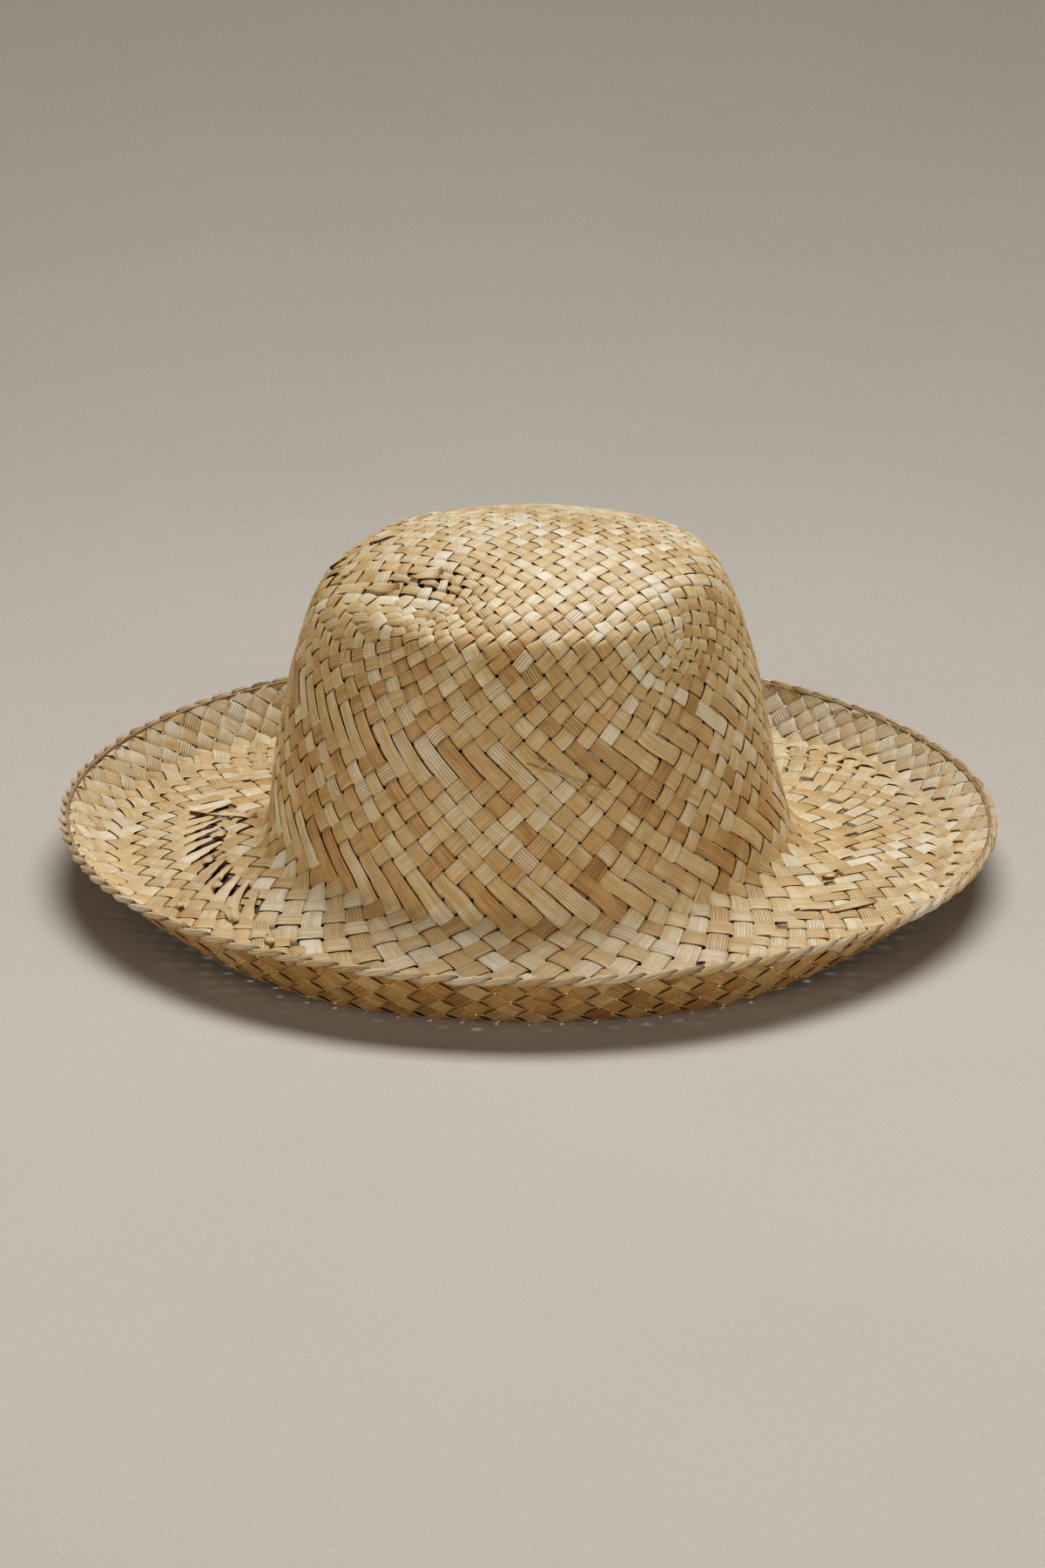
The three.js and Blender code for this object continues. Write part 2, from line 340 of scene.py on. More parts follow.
def dent_push(rows, azimuths, dents):
    """How far all the dents together push the wall out, in mm."""
    total = np.zeros(np.broadcast(rows, azimuths).shape)
    for _place, azimuth, row, reach, reach_rows, push in dents:
        total = total + push * nearness(rows, azimuths, azimuth, row, reach, reach_rows)
    return total


def lean_at(height):
    """How far the wall stands to the right at a height, in mm."""
    return (WALL_LEAN_MM * smoothstep(height, *WALL_LEAN_HEIGHTS)
            + TOP_SHIFT_MM * smoothstep(height, *TOP_SHIFT_HEIGHTS))


def mid_wall(rows, azimuths):
    """Points at mid wall in mm. Azimuth 0 is the front, and a quarter turn is +X."""
    rows, azimuths = np.broadcast_arrays(np.asarray(rows, float), np.asarray(azimuths, float))
    step = 0.02
    here = profile_at(rows, azimuths)
    before = profile_at(np.maximum(rows - step, 0.0), azimuths)
    after = profile_at(np.minimum(rows + step, RIM_ROW), azimuths)
    change = after - before
    run = np.hypot(change[..., 0], change[..., 1])
    push = dent_push(rows, azimuths, DENTS)
    out = here[..., 0] - push * change[..., 1] / run
    up = here[..., 1] + push * change[..., 0] / run
    leftness = np.maximum(-np.sin(azimuths), 0.0)
    up = up + LEFT_RIM_LIFT_MM * leftness ** 2 * smoothstep(rows, ROW["outer_crease"], RIM_ROW)
    return np.stack([out * np.sin(azimuths) + lean_at(here[..., 1]), -out * np.cos(azimuths), up], -1)


def unit(vectors):
    """The same directions, one long."""
    shortest = 1e-9
    return vectors / np.maximum(np.linalg.norm(vectors, axis=-1, keepdims=True), shortest)


def wall_place(rows, azimuths):
    """Points at mid wall and directions out of it. Past the rim the wall runs straight on."""
    rows, azimuths = np.broadcast_arrays(np.asarray(rows, float), np.asarray(azimuths, float))
    step = 0.03
    turn = 0.02
    mm_past_rim = 7.5
    inside = np.clip(rows, step, RIM_ROW)
    points = mid_wall(inside, azimuths)
    along = unit(mid_wall(np.minimum(inside + step, RIM_ROW), azimuths) - mid_wall(inside - step, azimuths))
    across = unit(mid_wall(inside, azimuths + turn) - mid_wall(inside, azimuths - turn))
    normals = unit(np.cross(along, across))
    points = points + along * (np.maximum(rows - RIM_ROW, 0.0) * mm_past_rim)[..., None]
    return points + normals * dent_push(inside, azimuths, CREASES)[..., None], normals


class RingTable:
    """Where each ring of crossings lies on the profile, so that the cells stay square all round."""

    def __init__(self, start_row, strips, last_ring):
        row_steps = 420
        end_steps = 12
        self.turns = np.linspace(-math.pi, math.pi, TURN_STEPS)
        rows = np.linspace(start_row, RIM_ROW, row_steps)
        points = mid_wall(rows[None, :], self.turns[:, None])
        steps = np.linalg.norm(np.diff(points, axis=1), axis=2)
        radii = np.hypot(points[..., 0], points[..., 1])
        closeness = 1.0 - (1.0 - CLOSE_SHARE) * smoothstep(rows[1:], *CLOSE_ROWS)
        pitch = math.pi * (radii[:, 1:] + radii[:, :-1]) / 2 / strips * closeness
        counted = np.concatenate([np.zeros((len(self.turns), 1)), np.cumsum(steps / pitch, axis=1)], axis=1)
        self.rings = np.arange(-2, last_ring + 3)
        per_ring = np.stack([np.interp(self.rings, count, rows) for count in counted], axis=1)
        last_pitch = (rows[-1] - rows[-end_steps]) / (counted[:, -1] - counted[:, -end_steps])
        beyond = np.maximum(self.rings[:, None] - counted[None, :, -1], 0.0) * last_pitch
        first_pitch = (rows[end_steps] - rows[0]) / counted[:, end_steps]
        short = np.minimum(self.rings[:, None], 0.0) * first_pitch
        self.rows = per_ring + beyond + short

    def row_at(self, ring, azimuth):
        """The row where each ring lies at each azimuth."""
        whole = np.array([np.interp(azimuth, self.turns, line) for line in self.rows]).T
        return np.array([np.interp(k, self.rings, line) for k, line in zip(ring, whole)])


def wrapped(azimuths):
    """The same azimuths, between minus and plus half a turn."""
    return np.arctan2(np.sin(azimuths), np.cos(azimuths))


class Strip:
    """One leaf strip: its crossings along the wall, and how it lies at each of them.
    A cut gives the first and last crossing that are kept, and makes the end run along the rim."""

    def __init__(self, points, normals, lifts, widths, tints, ribbing, cut=None):
        self.points = points
        self.normals = normals
        self.lifts = lifts
        self.widths = widths
        self.tints = tints
        self.ribbing = ribbing
        self.first, self.last = cut or (0.0, len(points) - 1.0)
        self.is_trimmed = cut is not None


def leg_down(side, along, turn_sense, last_ring):
    """Keys of the crossings from the fold down the wall, for one leg of a strip."""
    start = 2 * TOP_SIDE * side + along
    return [(ring, (start + turn_sense * ring) % (2 * CROWN_STRIPS)) for ring in range(1, last_ring + 1)]


def edge_leg(p, q, step_p, step_q, last_ring):
    """The leg that leaves the top's square at p, q, with the sense in which it turns."""
    if q == -TOP_SIDE and step_q < 0:
        side, along, sense = 0, p, step_p
    elif p == TOP_SIDE and step_p > 0:
        side, along, sense = 1, q, step_q
    elif q == TOP_SIDE and step_q > 0:
        side, along, sense = 2, -p, -step_p
    else:
        side, along, sense = 3, -q, -step_q
    return leg_down(side, along, sense, last_ring), sense


def crown_paths(last_ring):
    """Each strip over the top and down both legs: its crossings' keys and whether it lies over."""
    def over_on_wall(ring, sense):
        falls_right = sense > 0
        over = (ring % 2 == 0) == falls_right
        return over != (ring in CROWN_FLOAT_RINGS)

    paths = []
    span = range(-TOP_SIDE, TOP_SIDE + 1)
    for slant in (-1, 1):
        for line in range(1 - 2 * TOP_SIDE, 2 * TOP_SIDE, 2):
            top = [(p, slant * (p - line)) for p in span if abs(p - line) <= TOP_SIDE]
            head, head_sense = edge_leg(*top[0], -1, -slant, last_ring)
            tail, tail_sense = edge_leg(*top[-1], 1, slant, last_ring)
            keys = [("wall",) + key for key in reversed(head)]
            keys += [("top",) + key for key in top]
            keys += [("wall",) + key for key in tail]
            over = [over_on_wall(key[0], head_sense) for key in reversed(head)]
            over += [(q % 2 != 0) == (slant < 0) for _p, q in top]
            over += [over_on_wall(key[0], tail_sense) for key in tail]
            paths.append((keys, over, head_sense))
    return paths


def top_guess(keys):
    """First places of the crossings on the top: the square's rings laid out as circles."""
    places = []
    for _kind, p, q in keys:
        inset = TOP_SIDE - max(abs(p), abs(q))
        half = TOP_SIDE - inset
        if q == -half:
            turn = p / half
        elif p == half:
            turn = 2 + q / half
        elif q == half:
            turn = 4 - p / half
        else:
            turn = 6 - q / half
        places.append((FOLD_ROW * half / TOP_SIDE, turn * math.pi / 4))
    return np.array(places)


class TopSnap:
    """Puts points back on the top and the shoulder."""

    def __init__(self):
        row_steps = 260
        turns = np.linspace(-math.pi, math.pi, TURN_STEPS)
        self.rows = np.linspace(0.0, ROW["high_wall"], row_steps)
        points = mid_wall(self.rows[None, :], turns[:, None])
        radius = np.hypot(points[..., 0] - lean_at(points[..., 2]), points[..., 1])
        self.outline = np.stack([radius, points[..., 2]], axis=-1)

    def rows_and_turns(self, points):
        """The row and azimuth of the nearest place on the wall to each point."""
        x = points[:, 0] - lean_at(points[:, 2])
        turns = np.arctan2(x, -points[:, 1])
        nearest_turn = np.rint((turns + math.pi) / (2 * math.pi) * (TURN_STEPS - 1)).astype(int)
        outline = self.outline[nearest_turn]
        here = np.stack([np.hypot(x, points[:, 1]), points[:, 2]], axis=-1)
        nearest = np.argmin(((outline - here[:, None]) ** 2).sum(axis=2), axis=1)
        nearest = np.clip(nearest, 1, len(self.rows) - 2)
        each = np.arange(len(points))
        start = outline[each, nearest - 1]
        chord = outline[each, nearest + 1] - start
        share = ((here - start) * chord).sum(axis=1) / (chord ** 2).sum(axis=1)
        span = self.rows[2] - self.rows[0]
        return self.rows[nearest - 1] + np.clip(share, 0, 1) * span, turns


def crown_net(paths):
    """Places of all crossings of the crown's strips, eased until the top lies even."""
    keys = sorted({key for path in paths for key in path[0]})
    index = {key: k for k, key in enumerate(keys)}
    is_top = np.array([key[0] == "top" for key in keys])
    rings = np.array([0 if key[0] == "top" else key[1] for key in keys], float)
    table = RingTable(FOLD_ROW, CROWN_STRIPS, CROWN_LAST_RING)
    rows = np.zeros(len(keys))
    turns = np.zeros(len(keys))
    wall = ~is_top
    wall_turn = np.array([key[2] for key in keys if key[0] == "wall"], float)
    turns[wall] = wrapped(wall_turn * math.pi / CROWN_STRIPS)
    rows[wall] = table.row_at(rings[wall], turns[wall])
    guess = top_guess([key for key in keys if key[0] == "top"])
    rows[is_top], turns[is_top] = guess[:, 0], wrapped(guess[:, 1])
    points, _normals = wall_place(rows, turns)

    free = np.flatnonzero(is_top | (rings < LOOSE_RINGS + 0.5) & (rings > 0))
    near = [[] for _key in keys]
    for path_keys, _over, _sense in paths:
        line = [index[key] for key in path_keys]
        for one, other in zip(line, line[1:]):
            near[one].append(other)
            near[other].append(one)
    neighbours = np.array([near[k] for k in free])
    snap = TopSnap()
    for _step in range(RELAX_STEPS):
        points[free] = points[neighbours].mean(axis=1)
        free_rows, free_turns = snap.rows_and_turns(points[free])
        points[free] = mid_wall(free_rows, free_turns)
    for _step in range(EVEN_STEPS):
        spans = points[neighbours] - points[free][:, None]
        lengths = np.linalg.norm(spans, axis=2, keepdims=True)
        pull = (spans * (1.0 - EVEN_SPACING / lengths)).sum(axis=1)
        points[free] += EVEN_PULL_SHARE * pull + EVEN_MEAN_SHARE * spans.mean(axis=1)
        free_rows, free_turns = snap.rows_and_turns(points[free])
        points[free] = mid_wall(free_rows, free_turns)
    rows[free], turns[free] = snap.rows_and_turns(points[free])
    points, normals = wall_place(rows, turns)
    return index, points, normals, rings, rows, turns


def strayed(points, normals, unevenness, rng):
    """Crossings moved a little along the wall, as hand plaiting leaves them."""
    any_way = (0.31, 0.17, 0.93)
    side = unit(np.cross(normals, any_way))
    other = np.cross(normals, side)
    moves = rng.normal(0.0, unevenness / MM, (len(points), 2))
    return points + side * moves[:, :1] + other * moves[:, 1:]


def cell_widths(lines, points):
    """For each line of crossings, the room that its strip has between its neighbours."""
    meets = {}
    tangents = []
    lengths = []
    for number, line in enumerate(lines):
        run = points[line]
        step = np.linalg.norm(np.diff(run, axis=0), axis=1)
        tangents.append(unit(np.gradient(run, axis=0)))
        lengths.append(np.concatenate([step[:1], (step[1:] + step[:-1]) / 2, step[-1:]]))
        for place, crossing in enumerate(line):
            meets.setdefault(crossing, []).append((number, place))
    widths = [np.full(len(line), np.nan) for line in lines]
    for pair in meets.values():
        if len(pair) < 2:
            continue
        (one, here), (other, there) = pair
        sine = np.linalg.norm(np.cross(tangents[one][here], tangents[other][there]))
        widths[one][here] = lengths[other][there] * sine
        widths[other][there] = lengths[one][here] * sine
    for width in widths:
        known = np.flatnonzero(~np.isnan(width))
        width[:] = np.interp(np.arange(len(width)), known, width[known])
        padded = np.concatenate([width[:1], width, width[-1:]])
        width[:] = (padded[:-2] + 2 * padded[1:-1] + padded[2:]) / 4
    return widths


def leaf_look(count, rng):
    """The tint at each crossing of one strip, and how ribbed the strip is."""
    usual_tint, tint_spread = 0.44, 0.085
    pale_share, pale_change = 0.14, -0.2
    drift_spread, stray_spread = 0.03, 0.05
    darkest_tint = 0.74
    underside_share = 0.3
    outer_ribs, underside_ribs, rib_spread = (0.0, 0.3), (0.4, 0.85), 0.1
    base = rng.normal(usual_tint, tint_spread) + pale_change * (rng.random() < pale_share)
    drift = np.cumsum(rng.normal(0.0, drift_spread, count))
    tints = base + drift - drift.mean() + rng.normal(0.0, stray_spread, count)
    shows_underside = rng.random() < underside_share
    ribbing = rng.uniform(*(underside_ribs if shows_underside else outer_ribs))
    ribbing = ribbing + rng.normal(0.0, rib_spread, count)
    return np.clip(tints, 0.0, darkest_tint), np.clip(ribbing, 0.0, 1.0)


def flawed(widths, lifts, rows, turns, rng):
    """Widths and lifts of one strip, changed where the plait has shrunk or sprung."""
    least_effect = 0.6
    for _place, azimuth, row, reach, reach_rows, lost, lift in FLAWS:
        near = nearness(rows, turns, azimuth, row, reach, reach_rows)
        widths = widths * (1.0 - lost * near * rng.uniform(least_effect, 1.0))
        lifts = lifts + lift * near * rng.uniform(0.0, 1.0) * (lifts > 0)
    return widths, lifts


def is_opened(turns):
    """Whether the outer strips' ends have come out here, as they have at the left."""
    azimuths = np.degrees(turns)
    return (azimuths > LEFT_FROM) & (azimuths < LEFT_TO)


def crown_strips(shape):
    """All strips of the crown and of the brim's inner rings, sorted by the corner they pass."""
    rng = np.random.default_rng(CROWN_SEED)
    fill_range = (0.96, 1.04)
    paths = crown_paths(CROWN_LAST_RING)
    index, points, normals, rings, rows, turns = crown_net(paths)
    points = strayed(points, normals, shape.unevenness, rng)
    lines = [[index[key] for key in keys] for keys, _over, _sense in paths]
    room = cell_widths(lines, points)
    relief = shape.relief / MM
    strips = []
    for line, width, (_keys, over, _sense) in zip(lines, room, paths):
        tints, ribbing = leaf_look(len(line), rng)
        # Painted sheen: the crown's top is made paler above these heights
        sheen_share = smoothstep(points[line, 2], *SHEEN_HEIGHTS_MM)
        # Painted light: the crown's strips are made paler on these rows of the brim
        on_brim = smoothstep(rows[line], *BRIM_PAINTED_LIGHT_ROWS)
        tints = np.clip(tints + PAINTED_SHEEN_TINT * sheen_share, 0.0, 1.0) * (1.0 - BRIM_PAINTED_LIGHT_SHARE * on_brim)
        fill = shape.tightness * rng.uniform(*fill_range)
        widths = np.minimum(width * fill, shape.strip_width / MM)
        lifts = np.where(over, relief, -relief) * (1.0 - FLATTER_SHARE * np.maximum(sheen_share, on_brim))
        dives = rings[line] >= np.where(is_opened(turns[line]), OPENED_DIVE_RING, DIVE_RING)
        lifts = np.where(dives, DIVE_MM, lifts)
        widths, lifts = flawed(widths, lifts, rows[line], turns[line], rng)
        strips.append(Strip(points[line], normals[line], lifts, widths, tints, ribbing))
    return strips


def brim_strips(shape):
    """The outer brim's strips: one family winds out to the left, the other to the right."""
    rng = np.random.default_rng(BRIM_SEED)
    fill_range = (0.98, 1.06)
    table = RingTable(BRIM_START_ROW, BRIM_STRIPS, BRIM_LAST_RING)
    relief = shape.relief / MM
    rings = BRIM_LAST_RING + 1
    ring = np.arange(rings)
    senses = [1] * BRIM_STRIPS + [-1] * BRIM_STRIPS
    lines = [(2 * number + sense * ring) % (2 * BRIM_STRIPS) * rings + ring
             for number, sense in enumerate(senses)]
    keys = np.unique(np.concatenate(lines))
    ring_of = keys % rings
    turn_of = wrapped(keys // rings * math.pi / BRIM_STRIPS)
    rows = table.row_at(ring_of.astype(float), turn_of)
    points, normals = wall_place(rows, turn_of)
    points = strayed(points, normals, shape.unevenness, rng)
    lines = [np.searchsorted(keys, line) for line in lines]
    room = cell_widths(lines, points)
    crown_table = RingTable(FOLD_ROW, CROWN_STRIPS, CROWN_LAST_RING)
    last_open_row = crown_table.row_at(np.full(len(keys), DIVE_RING - 1.0), turn_of)
    covered = (ring_of == 0) | (rows < last_open_row + COVER_MARGIN)
    opened = is_opened(turn_of)
    strips = []
    for line, width, sense in zip(lines, room, senses):
        over = ((ring % 2 == 1) == (sense > 0)) != np.isin(ring, BRIM_FLOAT_RINGS)
        tints, ribbing = leaf_look(len(line), rng)
        # Painted light: the band that turns up at the rim is made paler
        tints = OUTER_TINT_SHARE * tints + BAND_PAINTED_LIGHT_TINT * smoothstep(rows[line], *BAND_ROWS)
        tints = np.maximum(tints, 0.0)
        fill = shape.tightness * rng.uniform(*fill_range)
        widths = np.minimum(width * fill, shape.strip_width / MM)
        lifts = np.where(over, relief, -relief) * OUTER_RELIEF_SHARE
        is_under = covered[line] & ~opened[line]
        lifts = np.where(is_under, lifts + UNDER_MM, lifts)
        if sense > 0 and opened[line[0]]:
            widths, lifts = finger_end(widths, lifts, relief, rng)
        widths, lifts = flawed(widths, lifts, rows[line], turn_of[line], rng)
        first = BRIM_LATE_RING if sense < 0 and opened[line[0]] else 0
        cut = (first, np.interp(TIP_ROW, rows[line], np.arange(len(line))))
        strips.append(Strip(points[line], normals[line], lifts, widths, tints, ribbing, cut))
    return strips[:BRIM_STRIPS], strips[BRIM_STRIPS:]


def finger_end(widths, lifts, relief, rng):
    """The inner end of an outer strip where it has come out from under the crown's, and shrunk."""
    slimmed = np.array([0.36, 0.55, 0.76, 0.92])
    stray, stray_share = (-0.12, 0.06), np.array([1.0, 1.0, 1.0, 0.4])
    rise_mm, rise_share = (0.5, 1.2), np.array([1.0, 0.8, 0.4])
    widths[:len(slimmed)] *= slimmed + rng.uniform(*stray) * stray_share
    lifts[:len(rise_share)] = relief + rng.uniform(*rise_mm) * rise_share
    return widths, lifts


def sprung_strip(start_azimuth, start_row, end_azimuth, end_row, width, rise, roll):
    """A strip that stands off the wall in a low arch, with its ends rolled over."""
    steps = 11
    base_lift_mm = 0.85
    narrowing = 0.4
    middle_tint, end_tint = 0.3, 0.9
    ribbing = 0.3
    share = np.linspace(0.0, 1.0, steps)
    from_middle = 2.0 * share - 1.0
    rows = start_row + (end_row - start_row) * share
    points, normals = wall_place(rows, np.radians(start_azimuth + (end_azimuth - start_azimuth) * share))
    points = points + normals * (base_lift_mm + rise * np.sin(math.pi * share))[:, None]
    lateral = unit(np.cross(unit(np.gradient(points, axis=0)), normals))
    angle = np.radians(roll) * from_middle ** 3
    normals = normals * np.cos(angle)[:, None] + lateral * np.sin(angle)[:, None]
    widths = width * (1.0 - narrowing * from_middle ** 2)
    tints = middle_tint + (end_tint - middle_tint) * from_middle ** 2
    return Strip(points, normals, np.zeros(steps), widths, tints, np.full(steps, ribbing))


def sprung_from(wall_name):
    """All the strips that have sprung off one wall."""
    return [sprung_strip(*sizes) for _place, wall, *sizes in SPRUNG if wall == wall_name]


def smooth_run(values):
    """Catmull-Rom values at the steps between the given ones."""
    padded = np.concatenate([2 * values[:1] - values[1:2], values, 2 * values[-1:] - values[-2:-1]])
    t = np.reshape(CELL_STEPS, (1, STEPS_PER_CELL) + (1,) * (values.ndim - 1))
    p0, p1, p2, p3 = (padded[k:len(padded) - 3 + k, None] for k in range(4))
    run = 0.5 * (2 * p1 + (p2 - p0) * t + (2 * p0 - 5 * p1 + 4 * p2 - p3) * t ** 2
                 + (3 * p1 - 3 * p2 + p3 - p0) * t ** 3)
    return np.concatenate([run.reshape((-1,) + values.shape[1:]), values[-1:]])


def held_run(values):
    """Values that stay level at each crossing and change quickly between two."""
    run = values[:-1, None] + (values[1:] - values[:-1])[:, None] * np.array(CELL_SHARES)
    return np.concatenate([run.ravel(), values[-1:]])


class MeshParts:
    """Vertices, faces and per-vertex values of closed strands, joined into one mesh."""

    def __init__(self):
        self.vertices = []
        self.faces = []
        self.leaf = []
        self.bake = []
        self.values = {"tint": [], "ribbing": [], "hollow": []}
        self.count = 0

    def add(self, rings, leaf, looks, slot):
        """Joins one closed strand to the mesh. The rings are steps x sides x 3 in mm, and the leaf's places
        are steps x sides x 2. The looks are tint, ribbing and hollow at each step or each vertex, and the
        slot is the strand's share of the bake map."""
        steps, sides, _three = rings.shape
        ring, side = np.meshgrid(np.arange(steps - 1), np.arange(sides), indexing="ij")
        after = (side + 1) % sides
        corners = np.stack([ring * sides + side, ring * sides + after,
                            (ring + 1) * sides + after, (ring + 1) * sides + side], axis=-1)
        half = sides // 2
        lower = np.array([[k, sides - 1 - k, sides - 2 - k, k + 1] for k in range(half - 1)])
        upper = lower[:, ::-1] + (steps - 1) * sides
        faces = np.concatenate([corners.reshape(-1, 4), lower, upper])
        self.vertices.append(rings.reshape(-1, 3))
        self.faces.append(faces + self.count)
        self.leaf.append(leaf.reshape(-1, 2)[faces])
        self.bake.append(bake_corners(slot, steps, sides, ring, side, 2 * len(lower)))
        for parts, look in zip(self.values.values(), looks):
            column = look[:, None] if look.ndim == 1 else look
            parts.append(np.broadcast_to(column, (steps, sides)).ravel())
        self.count += steps * sides

    def piece(self, name, material, slot, replaced, sharp_degrees=38.0):
        """Makes the mesh object with its material, hangs it on the body it rides on and hides the imported
        parts that it stands for. The slot is not used.
        """
        vertices = np.concatenate(self.vertices) * MM
        faces = np.concatenate(self.faces)
        mesh = bpy.data.meshes.new(name)
        mesh.vertices.add(len(vertices))
        mesh.vertices.foreach_set("co", vertices.astype(np.float32).ravel())
        mesh.loops.add(faces.size)
        mesh.loops.foreach_set("vertex_index", faces.astype(np.int32).ravel())
        mesh.polygons.add(len(faces))
        mesh.polygons.foreach_set("loop_start", np.arange(0, faces.size, 4, dtype=np.int32))
        mesh.update(calc_edges=True)
        for map_name, parts in (("leaf", self.leaf), ("OFBake", self.bake)):
            layer = mesh.uv_layers.new(name=map_name, do_init=False)
            layer.uv.foreach_set("vector", np.concatenate(parts).astype(np.float32).ravel())
        for value_name, parts in self.values.items():
            attribute = mesh.attributes.new(value_name, "FLOAT", "POINT")
            attribute.data.foreach_set("value", np.concatenate(parts).astype(np.float32))
        mesh.polygons.foreach_set("use_smooth", np.ones(len(faces), bool))
        mesh.set_sharp_from_angle(angle=math.radians(sharp_degrees))
        if mesh.validate():
            raise RuntimeError(f"{name} has faces that Blender had to mend")
        mesh.materials.append(material)
        piece = bpy.data.objects.new(name, mesh)
        bpy.context.scene.collection.objects.link(piece)
        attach(piece, BODY)
        if replaced:
            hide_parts(*replaced)


def bake_corners(slot, steps, sides, ring, side, cap_count):
    """A strand's corners in the bake map: its body unrolled, and a column with the faces of its ends."""
    left, low, wide, high = slot
    used_share = 0.94
    cap_start, cap_width, cap_height = 0.9, 0.8, 0.9
    u = left + wide * np.stack([ring, ring, ring + 1, ring + 1], axis=-1) / steps
    v = low + high * np.stack([side, side + 1, side + 1, side], axis=-1) / sides * used_share
    body = np.stack([u, v], axis=-1).reshape(-1, 4, 2)
    square = np.array([[0.0, 0.0], [1.0, 0.0], [1.0, 1.0], [0.0, 1.0]])
    size = np.array([wide * cap_width / steps, high * cap_height / cap_count])
    cap_left = left + wide * (steps - cap_start) / steps
    caps = [np.array([cap_left, low + high * used_share * k / cap_count]) + square * size
            for k in range(cap_count)]
    return np.concatenate([body, caps])


def bake_slots(count, per_line):
    """Equal shares of the bake map, in lines from the bottom up: left, low, width and height of each."""
    used_width, used_height = 0.98, 0.96
    lines = math.ceil(count / per_line)
    return [((k % per_line) / per_line, (k // per_line) / lines, used_width / per_line, used_height / lines)
            for k in range(count)]


def trim_slide(across, tangents, lateral, point, last_step):
    """How far each corner of a strip's section slides along it, so that its end runs along the rim."""
    azimuth = math.atan2(point[0], -point[1])
    along_rim = np.array([math.cos(azimuth), math.sin(azimuth), 0.0])
    slant = along_rim @ tangents[last_step] / (along_rim @ lateral[last_step])
    nearing = np.clip(1.0 + (np.arange(len(across)) - last_step) / STEPS_PER_CELL, 0.0, 1.0)
    return across * slant * nearing[:, None]


def strip_rings(strip, thickness):
    """The closed section of a strip at every step along it, in mm, with its leaf coordinates."""
    points = smooth_run(strip.points)
    points[:, 2] = np.maximum(points[:, 2], LOWEST_MIDDLE_MM)
    normals = unit(smooth_run(strip.normals))
    lifts = held_run(strip.lifts)
    widths = smooth_run(strip.widths)
    middle = points + normals * lifts[:, None]
    middle[:, 2] = np.maximum(middle[:, 2], LOWEST_HIDDEN_MM)
    tangents = unit(np.gradient(middle, axis=0))
    lateral = unit(np.cross(tangents, normals))
    up = np.cross(lateral, tangents)
    section = np.array(SECTION)
    across = section[:, 0] * widths[:, None]
    height = section[:, 1] * thickness
    rings = (middle[:, None] + lateral[:, None] * across[..., None]
             + up[:, None] * height[None, :, None])
    travelled = np.concatenate([[0.0], np.cumsum(np.linalg.norm(np.diff(points, axis=0), axis=1))])
    last_step = round(strip.last * STEPS_PER_CELL)
    slide = np.zeros(across.shape)
    if strip.is_trimmed:
        slide = trim_slide(across, tangents, lateral, middle[last_step], last_step)
    rings = rings + tangents[:, None] * slide[..., None]
    rings[..., 2] = np.maximum(rings[..., 2], FLOOR_GAP_MM)
    leaf = np.stack([travelled[:, None] + slide, across], axis=-1)
    # Painted shade: the deeper a strip lies under the others, the darker its hollow value makes it
    hollow = smoothstep(-lifts, *HOLLOW_DEPTHS_MM)
    kept = slice(round(strip.first * STEPS_PER_CELL), last_step + 1)
    underside = np.arange(len(SECTION)) >= len(SECTION) // 2
    # Painted shade: every strip's underside is darker
    tints = held_run(strip.tints)[:, None] + UNDERSIDE_SHADE_TINT * underside
    looks = (tints, held_run(strip.ribbing), hollow)
    return rings[kept], leaf[kept], [look[kept] for look in looks]


def lay_strips(name, strips, shape, material, slot, replaced, seed):
    """One mesh of many strips, each with its own stretch of leaf."""
    rng = np.random.default_rng(seed)
    parts = MeshParts()
    longest = max(len(strip.points) for strip in strips)
    per_line = max(1, round(math.sqrt(len(strips) * 2 * len(SECTION) / longest)))
    for strip, share in zip(strips, bake_slots(len(strips), per_line)):
        rings, leaf, looks = strip_rings(strip, shape.strip_thickness / MM)
        leaf = leaf + rng.uniform(0.0, LEAF_SHEET_MM, 2)
        parts.add(rings, leaf * MM, looks, share)
    parts.piece(name, material, slot, replaced)


def rim_frame(turns):
    """Points on the rim, directions out of the wall there, and directions that run on past the rim."""
    below_rim = RIM_ROW - 0.2
    rim, normals = wall_place(RIM_ROW, turns)
    inside, _normals = wall_place(below_rim, turns)
    return rim, normals, unit(rim - inside)


def edge_parts(shape):
    """The twisted edge: spindles that climb from the rim's outside over its top, round a core."""
    rng = np.random.default_rng(EDGE_SEED)
    parts = MeshParts()
    *shares, core_share = bake_slots(EDGE_TWISTS + 1, per_line=8)
    for twist, share in enumerate(shares):
        parts.add(*edge_twist(twist, shape.edge_thickness / MM, rng), share)
    parts.add(*core_strand(), core_share)
    return parts


